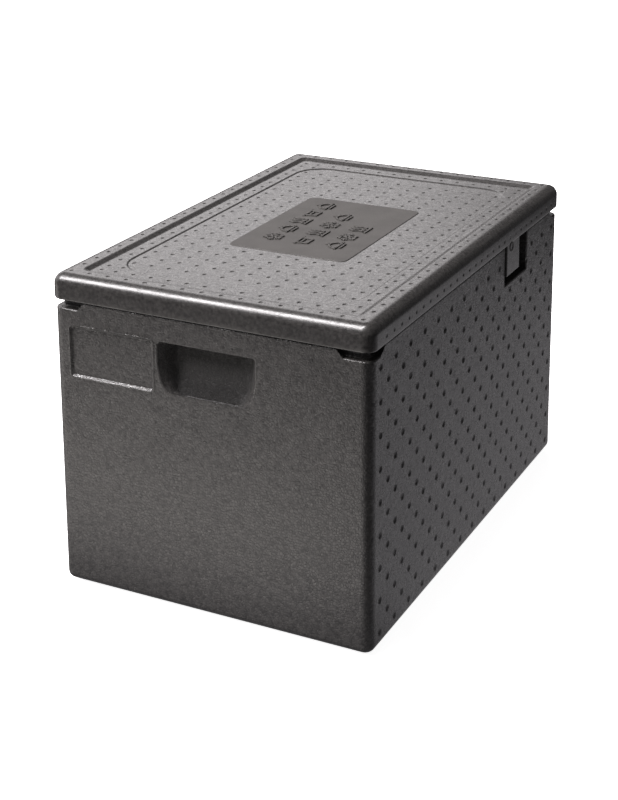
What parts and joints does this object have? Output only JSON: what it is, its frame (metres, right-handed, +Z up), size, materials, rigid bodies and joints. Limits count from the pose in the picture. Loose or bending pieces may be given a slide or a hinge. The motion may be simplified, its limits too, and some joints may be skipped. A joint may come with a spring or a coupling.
{
  "type": "insulated food carrier",
  "caption": "Insulated foam carrier box for pans of hot or cold food, with a lift-off lid that seats on a raised tongue, grip pockets in its ends and a lid that stacks.",
  "frame": {"origin": "on the floor under the middle of the body, at the underside of its foot", "axes": "+Z up, +Y along the length away from the end with the label beside the first grip pocket, +X across the width"},
  "size_m": [0.4, 0.6, 0.381],
  "materials": {
    "body_foam": "moulded expanded polypropylene beads, matte with a faint sheen, dark grey",
    "lid_foam": "moulded expanded polypropylene beads, matte with a faint sheen, dark grey"
  },
  "bodies": {
    "body": {"body": "body_foam"},
    "lid": {"lid": "lid_foam"}
  },
  "joints": [
    {"name": "lid_lift", "type": "slide", "parent": "body", "child": "lid", "axis": [0, 0, 1], "range_m": [0, 0.3]}
  ]
}
